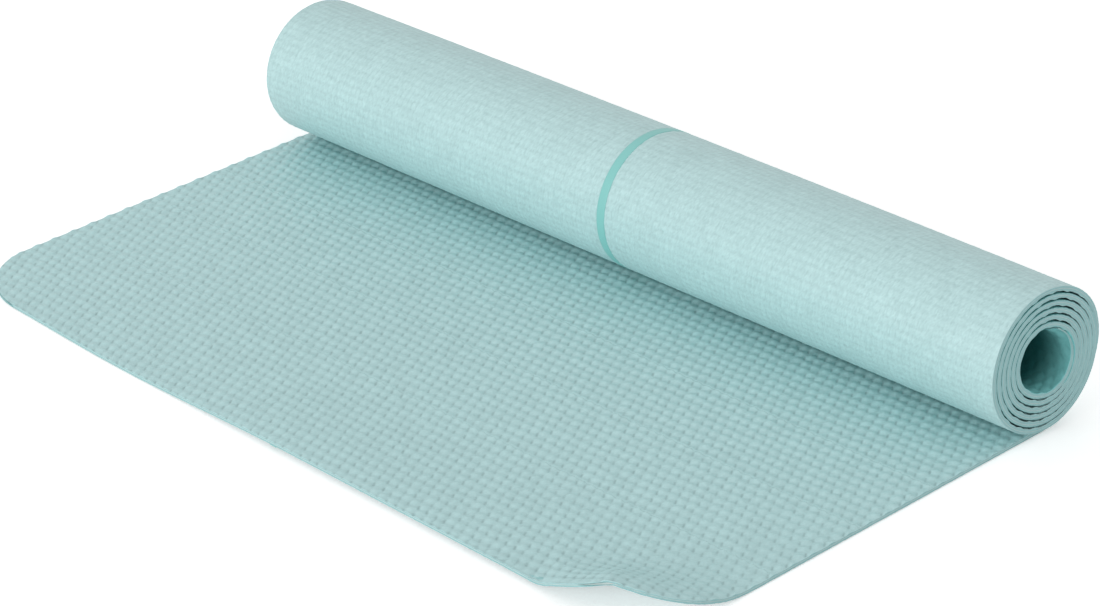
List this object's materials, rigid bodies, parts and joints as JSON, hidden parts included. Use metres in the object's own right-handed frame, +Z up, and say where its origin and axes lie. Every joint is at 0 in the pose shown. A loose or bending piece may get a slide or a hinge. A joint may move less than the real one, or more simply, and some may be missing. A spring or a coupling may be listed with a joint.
{
  "type": "yoga mat",
  "caption": "Half-unrolled laminated foam yoga mat: a wound roll with an open bore and a flat free end with rounded corners that curls up",
  "frame": {"origin": "middle of the footprint, on the floor", "axes": "+X along the roll, -Y towards the free end, +Z up"},
  "size_m": [0.61, 0.3714, 0.096],
  "materials": {
    "grip_layer": "matt mint foam with a raised oval grip relief",
    "scrim": "open woven polyester mesh",
    "base_layer": "matt pale mint foam with a fine woven-look relief",
    "centre_line": "smooth satin teal strip"
  },
  "bodies": {
    "roll": {"base_layer_roll": "base_layer", "scrim_roll": "scrim", "grip_layer_roll": "grip_layer", "centre_line_roll": "centre_line"},
    "fold_1": {"base_layer_fold_1": "base_layer", "scrim_fold_1": "scrim", "grip_layer_fold_1": "grip_layer", "centre_line_fold_1": "centre_line"},
    "fold_2": {"base_layer_fold_2": "base_layer", "scrim_fold_2": "scrim", "grip_layer_fold_2": "grip_layer", "centre_line_fold_2": "centre_line"},
    "fold_3": {"base_layer_fold_3": "base_layer", "scrim_fold_3": "scrim", "grip_layer_fold_3": "grip_layer", "centre_line_fold_3": "centre_line"},
    "fold_4": {"base_layer_fold_4": "base_layer", "scrim_fold_4": "scrim", "grip_layer_fold_4": "grip_layer", "centre_line_fold_4": "centre_line"}
  },
  "joints": [
    {"name": "fold_1_bend", "type": "hinge", "parent": "roll", "child": "fold_1", "pos_m": [0, 0.07635, 0.0036], "axis": [-1, 0, 0], "range_deg": [0, 45]},
    {"name": "fold_2_bend", "type": "hinge", "parent": "fold_1", "child": "fold_2", "pos_m": [0, 0.01084, 0.0036], "axis": [-1, 0, 0], "range_deg": [0, 45]},
    {"name": "fold_3_bend", "type": "hinge", "parent": "fold_2", "child": "fold_3", "pos_m": [0, -0.05468, 0.0036], "axis": [-1, 0, 0], "range_deg": [0, 45]},
    {"name": "fold_4_bend", "type": "hinge", "parent": "fold_3", "child": "fold_4", "pos_m": [0, -0.12019, 0.0036], "axis": [-1, 0, 0], "range_deg": [0, 45]}
  ],
  "couplings": [
    {"joint": "fold_2_bend", "follows": "fold_1_bend", "ratio": 1},
    {"joint": "fold_3_bend", "follows": "fold_1_bend", "ratio": 1},
    {"joint": "fold_4_bend", "follows": "fold_1_bend", "ratio": 1}
  ]
}
